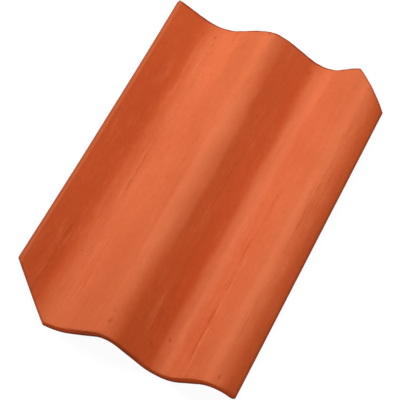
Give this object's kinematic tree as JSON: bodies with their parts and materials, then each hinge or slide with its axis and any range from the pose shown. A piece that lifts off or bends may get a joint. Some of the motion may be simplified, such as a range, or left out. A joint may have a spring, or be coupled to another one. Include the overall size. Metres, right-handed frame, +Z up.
{
  "type": "clay roof tile",
  "caption": "Wavy single-lap clay roof tile with pans and rolls along its length, splayed opposite corners and hanging nibs under the head; sheds rain on a pitched roof.",
  "frame": {"origin": "centre of the footprint, on the floor that the tile lies on", "axes": "+Z up from the floor, weather face upwards; +Y along the length from the tail to the head; +X across from the upstand to the lip"},
  "size_m": [0.272, 0.421, 0.0524],
  "materials": {
    "fired_clay": "matte"
  },
  "bodies": {
    "root": {"roof_tile": "fired_clay"}
  },
  "joints": []
}
